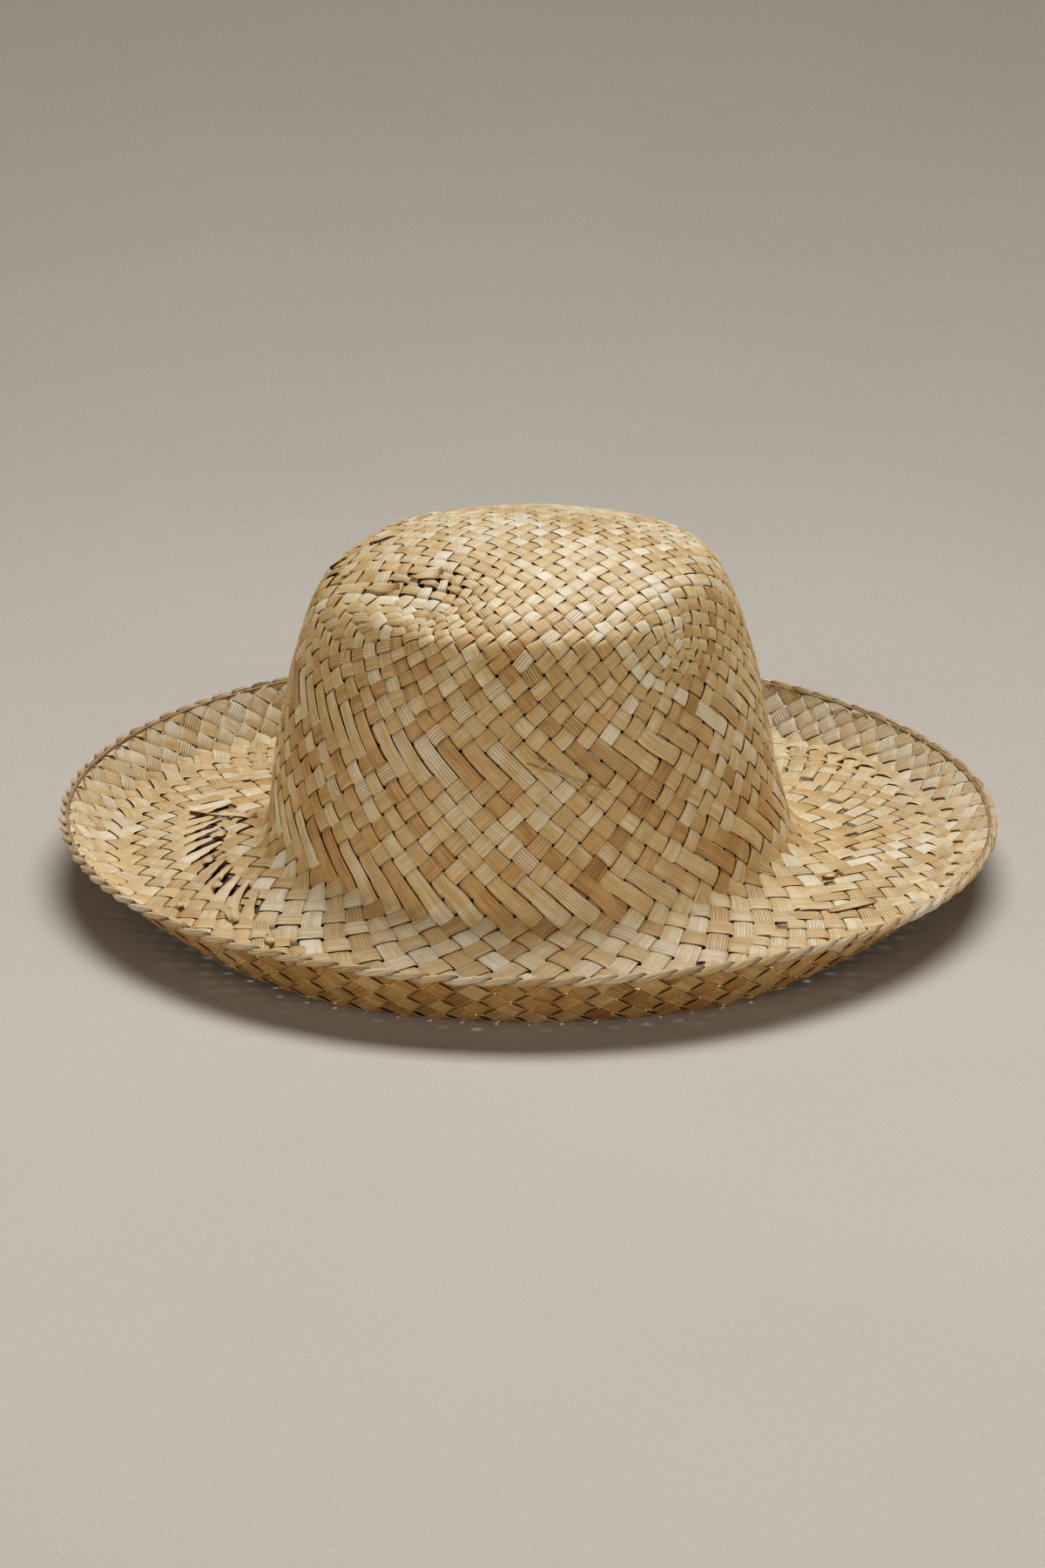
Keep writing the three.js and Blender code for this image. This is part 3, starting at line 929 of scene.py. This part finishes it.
def edge_twist(twist, thickness, rng):
    """One spindle of the edge: its rings in mm, its leaf places and its looks."""
    steps, sides = 13, 10
    spacing = 2 * math.pi / EDGE_TWISTS
    place_stray = 0.06
    reach = 1.62
    wind_start, wind_turn = -55.0, 185.0
    middle_height, wound_height = 0.1, 1.0
    middle_out, wound_out = 0.25, 0.95
    fullness, fatness, end_radius, flatness = 0.55, 0.9, 0.16, 0.78
    wobble_size, wobble_waves = 0.07, 5
    girth_range = (0.92, 1.08)
    leaf_length, leaf_girth, leaf_skew = 16.0, 1.6, 2.4
    tint, tint_spread, ribbing, end_hollow = 0.4, 0.16, 0.8, 0.8
    along = np.linspace(0.0, 1.0, steps)
    angles = np.linspace(0.0, 2 * math.pi, sides, endpoint=False)
    turn = (twist + rng.uniform(-place_stray, place_stray)) * spacing
    rim, normals, rise = rim_frame(turn + (along - 0.5) * reach * spacing)
    wind = np.radians(wind_start + wind_turn * along)
    height = middle_height + wound_height * np.sin(wind)
    outward = middle_out + wound_out * np.cos(wind)
    middle = rim + rise * height[:, None] - normals * outward[:, None]
    tangents = unit(np.gradient(middle, axis=0))
    lateral = unit(np.cross(tangents, normals))
    up = np.cross(lateral, tangents)
    swell = np.maximum(np.sin(math.pi * along), 0.0) ** fullness
    girth = thickness / 2 * swell * fatness + end_radius
    wave = wobble_waves * (angles[None, :] + along[:, None]) + twist
    radius = girth[:, None] * (1 + wobble_size * np.sin(wave)) * rng.uniform(*girth_range)
    rings = (middle[:, None] - lateral[:, None] * (radius * np.cos(angles))[..., None]
             + up[:, None] * (flatness * radius * np.sin(angles))[..., None])
    length = along[:, None] * leaf_length * np.ones((1, sides))
    around = angles[None, :] * leaf_girth + leaf_skew * along[:, None]
    leaf = (np.stack([length, around], axis=-1) + rng.uniform(0.0, LEAF_SHEET_MM, 2)) * MM
    tints = np.full(steps, np.clip(rng.normal(tint, tint_spread), 0.0, 1.0))
    # Painted shade at both ends of the twist, where it tucks under its neighbours
    hollow = end_hollow * (2.0 * along - 1.0) ** 6
    return rings, leaf, (tints, np.full(steps, ribbing), hollow)


def core_strand():
    """The thin strand along the rim that the twists are wound over. Its ends overlap."""
    steps, sides, radius = 361, 8, 0.9
    overlapping_turn = 2.02 * math.pi
    inward = 0.1
    rim_radius = 163.0
    # The core lies under the twists, so all of it carries a painted shade
    tint, ribbing, hollow = 0.5, 0.8, 0.35
    turns = np.linspace(0.0, overlapping_turn, steps)
    rim, normals, rise = rim_frame(turns)
    angles = np.linspace(0.0, 2 * math.pi, sides, endpoint=False)
    middle = rim - inward * rise - inward * normals
    rings = (middle[:, None] - normals[:, None] * (radius * np.cos(angles))[None, :, None]
             + rise[:, None] * (radius * np.sin(angles))[None, :, None])
    length = np.broadcast_to(turns[:, None] * rim_radius, (steps, sides))
    leaf = np.stack([length, np.broadcast_to(angles, (steps, sides))], axis=-1) * MM
    return rings, leaf, (np.full(steps, tint), np.full(steps, ribbing), np.full(steps, hollow))


def fibre_rings(points, thickness):
    """A thin round strand along the given points, in mm, with its ends drawn out thin."""
    sides = 4
    taper_steps, end_share = 3, 0.35
    any_way = (0.21, 0.33, 0.92)
    tangents = unit(np.gradient(points, axis=0))
    side = unit(np.cross(tangents, any_way))
    other = np.cross(tangents, side)
    angles = np.linspace(0.0, 2 * math.pi, sides, endpoint=False)
    from_start = np.arange(len(points))
    taper = np.clip(np.minimum(from_start, from_start[::-1]) / taper_steps, end_share, 1.0)
    radius = (thickness / 2 * taper)[:, None, None]
    return (points[:, None] + side[:, None] * radius * np.cos(angles)[None, :, None]
            + other[:, None] * radius * np.sin(angles)[None, :, None])


def fibre_parts(shape):
    """Fibres that have worked loose: most lie on the wall, and every third is at the rim."""
    rng = np.random.default_rng(FIBRE_SEED)
    parts = MeshParts()
    steps = 15
    rim_reach, wall_rows = 0.5, (4.0, 15.0)
    lengths_mm = (9.0, 26.0)
    most_bend = 1.6
    mm_per_row = 9.0
    least_row, rows_past_rim = 1.0, 0.6
    base_lift_mm, rises_mm, arches = 0.85, (0.2, 3.2), (0.5, 1.0)
    darkest_tint = 0.4
    along = np.linspace(0.0, 1.0, steps)
    for number, share in enumerate(bake_slots(shape.loose_fibres, per_line=4)):
        at_rim = number % 3 == 0
        row = RIM_ROW - rng.uniform(0.0, rim_reach) if at_rim else rng.uniform(*wall_rows)
        turn = rng.uniform(-math.pi, math.pi)
        step = rng.uniform(*lengths_mm) / (steps - 1)
        heading = rng.uniform(0.0, 2 * math.pi)
        angle = heading + rng.uniform(-most_bend, most_bend) * along
        radius = np.hypot(*mid_wall(row, turn)[:2])
        rows = row + np.cumsum(np.cos(angle)) * step / mm_per_row
        turns = turn + np.cumsum(np.sin(angle)) * step / radius
        points, normals = wall_place(np.clip(rows, least_row, RIM_ROW + rows_past_rim), turns)
        rise = rng.uniform(*rises_mm)
        stand = base_lift_mm + rise * np.sin(math.pi * along * rng.uniform(*arches)) ** 2
        rings = fibre_rings(points + normals * stand[:, None], shape.fibre_thickness / MM)
        leaf = np.zeros(rings.shape[:2] + (2,)) + rng.uniform(0.0, LEAF_SHEET_MM * MM, 2)
        tints = np.full(steps, rng.uniform(0.0, darkest_tint))
        parts.add(rings, leaf, (tints, np.zeros(steps), np.zeros(steps)), share)
    return parts


def linear(colour):
    """An sRGB hex colour as linear red, green, blue and alpha."""
    channels = [int(colour[k:k + 2], 16) / 255 for k in (1, 3, 5)]
    return [c / 12.92 if c <= 0.04045 else ((c + 0.055) / 1.055) ** 2.4 for c in channels] + [1.0]


def add_node(tree, kind, links=(), values=(), **settings):
    """Adds a node, sets its options and input values, and links its inputs."""
    node = tree.nodes.new(kind)
    for option, value in settings.items():
        setattr(node, option, value)
    for socket, value in values:
        node.inputs[socket].default_value = value
    for socket, source, output in links:
        tree.links.new(source.outputs[output], node.inputs[socket])
    return node


def new_material(name, **constants):
    """A material with its own shader, whose constants are set on the shader's sockets."""
    material = bpy.data.materials.new(name)
    material.use_nodes = True
    tree = material.node_tree
    tree.nodes.clear()
    shader = add_node(tree, "ShaderNodeBsdfPrincipled", values=constants.items())
    output = add_node(tree, "ShaderNodeOutputMaterial", links=[("Surface", shader, "BSDF")])
    output.is_active_output = True
    return material, tree, shader


def leaf_places(tree, across_mm, along_mm):
    """Places on the leaf, counted in the given lengths across and along it."""
    leaf = add_node(tree, "ShaderNodeUVMap", uv_map="leaf")
    return add_node(
        tree, "ShaderNodeVectorMath", [("Vector", leaf, "UV")],
        [(1, (1 / (along_mm * MM), 1 / (across_mm * MM), 1.0))], operation="MULTIPLY")


def leaf_grain(tree, across_mm, along_mm, detail, seed):
    """Noise drawn out along the leaf, with grains of the given size."""
    places = leaf_places(tree, across_mm, along_mm)
    moved = add_node(
        tree, "ShaderNodeVectorMath", [("Vector", places, "Vector")], [(1, (0.0, 0.0, seed))],
        operation="ADD")
    return add_node(
        tree, "ShaderNodeTexNoise", [("Vector", moved, "Vector")],
        [("Scale", 1.0), ("Detail", detail), ("Roughness", 0.6)])


def leaf_ribs(tree, spacing_mm, waver_mm):
    """Veins that run along the leaf at an even spacing, and waver a little."""
    places = leaf_places(tree, spacing_mm, waver_mm)
    # At this scale the wave has one band for each spacing
    one_band = math.pi / 10
    return add_node(
        tree, "ShaderNodeTexWave", [("Vector", places, "Vector")],
        [("Scale", one_band), ("Distortion", 1.4), ("Detail", 1.0), ("Detail Scale", 1.3)],
        wave_type="BANDS", bands_direction="Y", wave_profile="SIN")


def palm_leaf(name, stops, roughness, rib_bump_mm):
    """Palm leaf, stripped, boiled and sun-dried: satin where the skin is whole, dull and ribbed where
    the veins stand up, and each strip has its own ripeness from pale straw to brown.
    Real veins are about 0.4 mm apart, too fine to show, so they are drawn as coarse as 1.05 mm."""
    material, tree, shader = new_material(name, IOR=1.5, Metallic=0.0)
    tint = add_node(tree, "ShaderNodeAttribute", attribute_name="tint")
    ribbing = add_node(tree, "ShaderNodeAttribute", attribute_name="ribbing")
    hollow = add_node(tree, "ShaderNodeAttribute", attribute_name="hollow")
    streaks = leaf_grain(tree, across_mm=0.9, along_mm=26.0, detail=3.0, seed=1.7)
    blotches = leaf_grain(tree, across_mm=5.0, along_mm=9.0, detail=2.0, seed=4.1)
    veins = leaf_ribs(tree, spacing_mm=1.05, waver_mm=30.0)
    streak_change = add_node(
        tree, "ShaderNodeMath", [(0, streaks, "Fac")], [(1, 0.8), (2, -0.4)], operation="MULTIPLY_ADD")
    blotch_change = add_node(
        tree, "ShaderNodeMath", [(0, blotches, "Fac")], [(1, 0.6), (2, -0.3)], operation="MULTIPLY_ADD")
    streaked = add_node(
        tree, "ShaderNodeMath", [(0, tint, "Fac"), (1, streak_change, "Value")], operation="ADD")
    ripeness = add_node(
        tree, "ShaderNodeMath", [(0, streaked, "Value"), (1, blotch_change, "Value")],
        operation="ADD", use_clamp=True)
    ramp = add_node(tree, "ShaderNodeValToRGB", [("Fac", ripeness, "Value")])
    set_stops(ramp, stops)
    vein_line = add_node(
        tree, "ShaderNodeMapRange", [("Value", veins, "Fac")],
        [("From Min", 0.5), ("From Max", 0.95), ("To Min", 0.0), ("To Max", 0.75)])
    vein_share = add_node(
        tree, "ShaderNodeMath", [(0, vein_line, "Result"), (1, ribbing, "Fac")], operation="MULTIPLY")
    veined = add_node(
        tree, "ShaderNodeMix", [("Factor", vein_share, "Value"), ("A", ramp, "Color")],
        [("B", linear(VEIN_COLOUR))], data_type="RGBA", blend_type="MULTIPLY")
    # Painted shade: multiplies a dark brown into the colour by the hollow value
    shaded_colour = add_node(
        tree, "ShaderNodeMix", [("Factor", hollow, "Fac"), ("A", veined, MIXED_COLOUR)],
        [("B", linear(PAINTED_SHADE_COLOUR))], data_type="RGBA", blend_type="MULTIPLY")
    tree.links.new(shaded_colour.outputs[MIXED_COLOUR], shader.inputs["Base Color"])
    rough = add_node(
        tree, "ShaderNodeMath", [(0, streaks, "Fac")], [(1, 0.12), (2, roughness)],
        operation="MULTIPLY_ADD")
    tree.links.new(rough.outputs["Value"], shader.inputs["Roughness"])
    ridge = add_node(
        tree, "ShaderNodeMath", [(0, veins, "Fac"), (1, ribbing, "Fac")], operation="MULTIPLY")
    height = add_node(
        tree, "ShaderNodeMath", [(0, streaks, "Fac"), (2, ridge, "Value")], [(1, 0.35)],
        operation="MULTIPLY_ADD")
    bump = add_node(
        tree, "ShaderNodeBump", [("Height", height, "Value")],
        [("Strength", 1.0), ("Distance", rib_bump_mm * MM)])
    tree.links.new(bump.outputs["Normal"], shader.inputs["Normal"])
    return material


def set_stops(ramp, stops):
    """Gives a colour ramp its stops, each a place and an sRGB hex colour."""
    elements = ramp.color_ramp.elements
    while len(elements) > 1:
        elements.remove(elements[-1])
    elements[0].position, elements[0].color = stops[0][0], linear(stops[0][1])
    for place, colour in stops[1:]:
        elements.new(place).color = linear(colour)


def leaf_stops(colours):
    """The colours of a strip of leaf, from pale to ripe."""
    return ((0.0, colours.pale), (0.38, colours.straw), (0.68, colours.tan), (1.0, colours.brown))


def studio_paper(colours):
    """Uncoated grey-beige paper, rolled: matt, with fine flecks of pulp about a millimetre wide, and
    clouds about a tenth of a metre wide that are just a little lighter or darker."""
    flecks_per_metre, clouds_per_metre = 900.0, 9.0
    material, tree, shader = new_material("uncoated_paper", Roughness=0.9, IOR=1.45)
    place = add_node(tree, "ShaderNodeTexCoord")
    flecks = add_node(
        tree, "ShaderNodeTexNoise", [("Vector", place, "Object")],
        [("Scale", flecks_per_metre), ("Detail", 3.0), ("Roughness", 0.65)])
    clouds = add_node(
        tree, "ShaderNodeTexNoise", [("Vector", place, "Object")],
        [("Scale", clouds_per_metre), ("Detail", 3.0)])
    fleck_tone = add_node(
        tree, "ShaderNodeMath", [(0, flecks, "Fac")], [(1, 0.30), (2, 0.83)], operation="MULTIPLY_ADD")
    cloud_tone = add_node(
        tree, "ShaderNodeMath", [(0, clouds, "Fac")], [(1, 0.06), (2, 0.985)], operation="MULTIPLY_ADD")
    tone = add_node(
        tree, "ShaderNodeMath", [(0, fleck_tone, "Value"), (1, cloud_tone, "Value")],
        operation="MULTIPLY")
    colour = add_node(
        tree, "ShaderNodeVectorMath", [("Scale", tone, "Value")], [(0, linear(colours.floor)[:3])],
        operation="SCALE")
    tree.links.new(colour.outputs["Vector"], shader.inputs["Base Color"])
    bump = add_node(
        tree, "ShaderNodeBump", [("Height", flecks, "Fac")], [("Strength", 0.25), ("Distance", 0.1 * MM)])
    tree.links.new(bump.outputs["Normal"], shader.inputs["Normal"])
    return material


def paper_sweep(colours):
    """One sheet of paper: level under the hat, then rising behind it in a wide bend."""
    front, bend_start, bend_radius = -3.0, 0.42, 0.5
    half_width = 5.0
    bend_steps = 24
    bend = math.radians(56.0)
    outline = [(front, 0.0)]
    for k in range(bend_steps + 1):
        angle = bend * k / bend_steps
        outline.append((bend_start + bend_radius * math.sin(angle), bend_radius * (1 - math.cos(angle))))
    vertices = [(x, y, z) for y, z in outline for x in (-half_width, half_width)]
    faces = [(2 * k, 2 * k + 1, 2 * k + 3, 2 * k + 2) for k in range(len(outline) - 1)]
    mesh = bpy.data.meshes.new("paper_sweep")
    mesh.from_pydata(vertices, [], faces)
    mesh.polygons.foreach_set("use_smooth", [True] * len(faces))
    mesh.materials.append(studio_paper(colours))
    sweep = bpy.data.objects.new("paper_sweep", mesh)
    bpy.context.scene.collection.objects.link(sweep)


def look_along(direction):
    """The turn that points an object's -Z along a direction, with its top up."""
    x, y, z = direction
    return (math.acos(-z / math.sqrt(x * x + y * y + z * z)), 0.0, math.atan2(-x, y))


def soft_box(name, place, aim, size, power, colour, spread):
    """A rectangular soft box that points at its aim."""
    light = bpy.data.lights.new(name, "AREA")
    light.shape = "RECTANGLE"
    light.size, light.size_y = size
    light.energy = power
    light.color = colour
    light.spread = math.radians(spread)
    lamp = bpy.data.objects.new(name, light)
    lamp.location = place
    lamp.rotation_euler = look_along(np.array(aim) - np.array(place))
    bpy.context.scene.collection.objects.link(lamp)


def place_camera(scene, stage):
    """A camera in front of the hat and a little above it, aimed at the wall's lower part."""
    frame_width_mm = 36.0
    aim = np.array([-2.22, 0.0, 27.0]) * MM
    away = np.array([0.0, -math.cos(stage.camera_elevation), math.sin(stage.camera_elevation)])
    lens = bpy.data.cameras.new("view")
    lens.lens = stage.lens
    lens.sensor_width = frame_width_mm
    lens.clip_start, lens.clip_end = 0.05, 20.0
    camera = bpy.data.objects.new("view", lens)
    camera.location = aim + away * stage.camera_distance
    camera.rotation_euler = look_along(-away)
    scene.collection.objects.link(camera)
    scene.camera = camera


def light_room(scene, stage):
    """A faint even light from all round."""
    world = bpy.data.worlds.new("room")
    world.use_nodes = True
    background = world.node_tree.nodes["Background"]
    background.inputs["Color"].default_value = linear("#F2EEE8")
    background.inputs["Strength"].default_value = stage.room_light
    scene.world = world


class STRAWHAT_OT_crown(bpy.types.Operator):
    """Plait the crown and the brim's inner rings from one set of strips"""

    bl_idname = "strawhat.crown"
    bl_label = "Plait crown"

    def execute(self, context):
        shape = context.scene.straw_hat_shape
        stops = leaf_stops(context.scene.straw_hat_colours)
        material = palm_leaf("palm_leaf_crown", stops, roughness=0.48, rib_bump_mm=0.12)
        strips = crown_strips(shape)
        piece_count = 4
        share = len(strips) // piece_count
        starts = [share * part for part in range(piece_count)]
        ends = starts[1:] + [None]
        strips += sprung_from("crown")
        for part, (start, end) in enumerate(zip(starts, ends)):
            replaced = ("crown",) if part == 0 else ()
            lay_strips(f"crown_strips_{part + 1}", strips[start:end], shape, material, "crown_straw",
                       replaced, CROWN_LEAF_SEED + part)
        return {"FINISHED"}


class STRAWHAT_OT_brim(bpy.types.Operator):
    """Plait the outer brim, whose two sets of strips wind opposite ways"""

    bl_idname = "strawhat.brim"
    bl_label = "Plait brim"

    def execute(self, context):
        shape = context.scene.straw_hat_shape
        stops = leaf_stops(context.scene.straw_hat_colours)
        material = palm_leaf("palm_leaf_brim", stops, roughness=0.5, rib_bump_mm=0.12)
        left, right = brim_strips(shape)
        left += sprung_from("brim")
        lay_strips("brim_strips_left", left, shape, material, "brim_straw", ("brim",), LEFT_LEAF_SEED)
        lay_strips("brim_strips_right", right, shape, material, "brim_straw", (), RIGHT_LEAF_SEED)
        return {"FINISHED"}


class STRAWHAT_OT_edge(bpy.types.Operator):
    """Twist the strand ends round the rim"""

    bl_idname = "strawhat.edge"
    bl_label = "Twist edge"

    def execute(self, context):
        colours = context.scene.straw_hat_colours
        stops = ((0.0, colours.pale), (0.45, colours.edge), (1.0, colours.edge_dark))
        material = palm_leaf("palm_leaf_twisted", stops, roughness=0.6, rib_bump_mm=0.2)
        parts = edge_parts(context.scene.straw_hat_shape)
        parts.piece("edge_twists", material, "edge_straw", ("edge_braid",), sharp_degrees=70.0)
        return {"FINISHED"}


class STRAWHAT_OT_fibres(bpy.types.Operator):
    """Scatter the fibres that have worked loose"""

    bl_idname = "strawhat.fibres"
    bl_label = "Loose fibres"

    def execute(self, context):
        colours = context.scene.straw_hat_colours
        stops = ((0.0, colours.pale), (1.0, colours.straw))
        material = palm_leaf("palm_leaf_fibre", stops, roughness=0.5, rib_bump_mm=0.02)
        parts = fibre_parts(context.scene.straw_hat_shape)
        parts.piece("loose_fibres", material, "crown_straw", ())
        return {"FINISHED"}


class STRAWHAT_OT_stage(bpy.types.Operator):
    """Lay the paper, set the lights and place the camera"""

    bl_idname = "strawhat.stage"
    bl_label = "Set stage"

    def execute(self, context):
        scene = context.scene
        stage = scene.straw_hat_stage
        paper_sweep(scene.straw_hat_colours)
        place_camera(scene, stage)
        for name, place, aim, size, setting, share, colour, spread in SOFT_BOXES:
            soft_box(name, place, aim, size, share * getattr(stage, setting), colour, spread)
        light_room(scene, stage)
        scene.view_settings.view_transform = "Standard"
        scene.view_settings.look = "Medium High Contrast"
        return {"FINISHED"}


class STRAWHAT_PT_panel(bpy.types.Panel):
    """Lists the hat's pieces, sizes and colours"""

    bl_idname = "STRAWHAT_PT_panel"
    bl_label = "Straw Hat"
    bl_space_type = "VIEW_3D"
    bl_region_type = "UI"
    bl_category = "Straw Hat"

    def draw(self, context):
        for operator in OPERATORS:
            self.layout.operator(operator.bl_idname)
        for group in PROPERTY_GROUPS.values():
            box = self.layout.box()
            settings = getattr(context.scene, group)
            for entry in settings.bl_rna.properties:
                if entry.identifier not in ("rna_type", "name"):
                    box.prop(settings, entry.identifier)


PROPERTY_GROUPS = {
    StrawHatShape: "straw_hat_shape",
    StrawHatColours: "straw_hat_colours",
    StrawHatStage: "straw_hat_stage",
}
OPERATORS = (
    STRAWHAT_OT_crown, STRAWHAT_OT_brim, STRAWHAT_OT_edge, STRAWHAT_OT_fibres, STRAWHAT_OT_stage,
)


def register():
    for group, name in PROPERTY_GROUPS.items():
        bpy.utils.register_class(group)
        setattr(bpy.types.Scene, name, bpy.props.PointerProperty(type=group))
    for operator in OPERATORS:
        bpy.utils.register_class(operator)
    bpy.utils.register_class(STRAWHAT_PT_panel)


def unregister():
    bpy.utils.unregister_class(STRAWHAT_PT_panel)
    for operator in reversed(OPERATORS):
        bpy.utils.unregister_class(operator)
    for group, name in PROPERTY_GROUPS.items():
        delattr(bpy.types.Scene, name)
        bpy.utils.unregister_class(group)


def main():
    register()
    bpy.ops.strawhat.crown()
    bpy.ops.strawhat.brim()
    bpy.ops.strawhat.edge()
    bpy.ops.strawhat.fibres()
    bpy.ops.strawhat.stage()


if __name__ == "__main__":
    main()
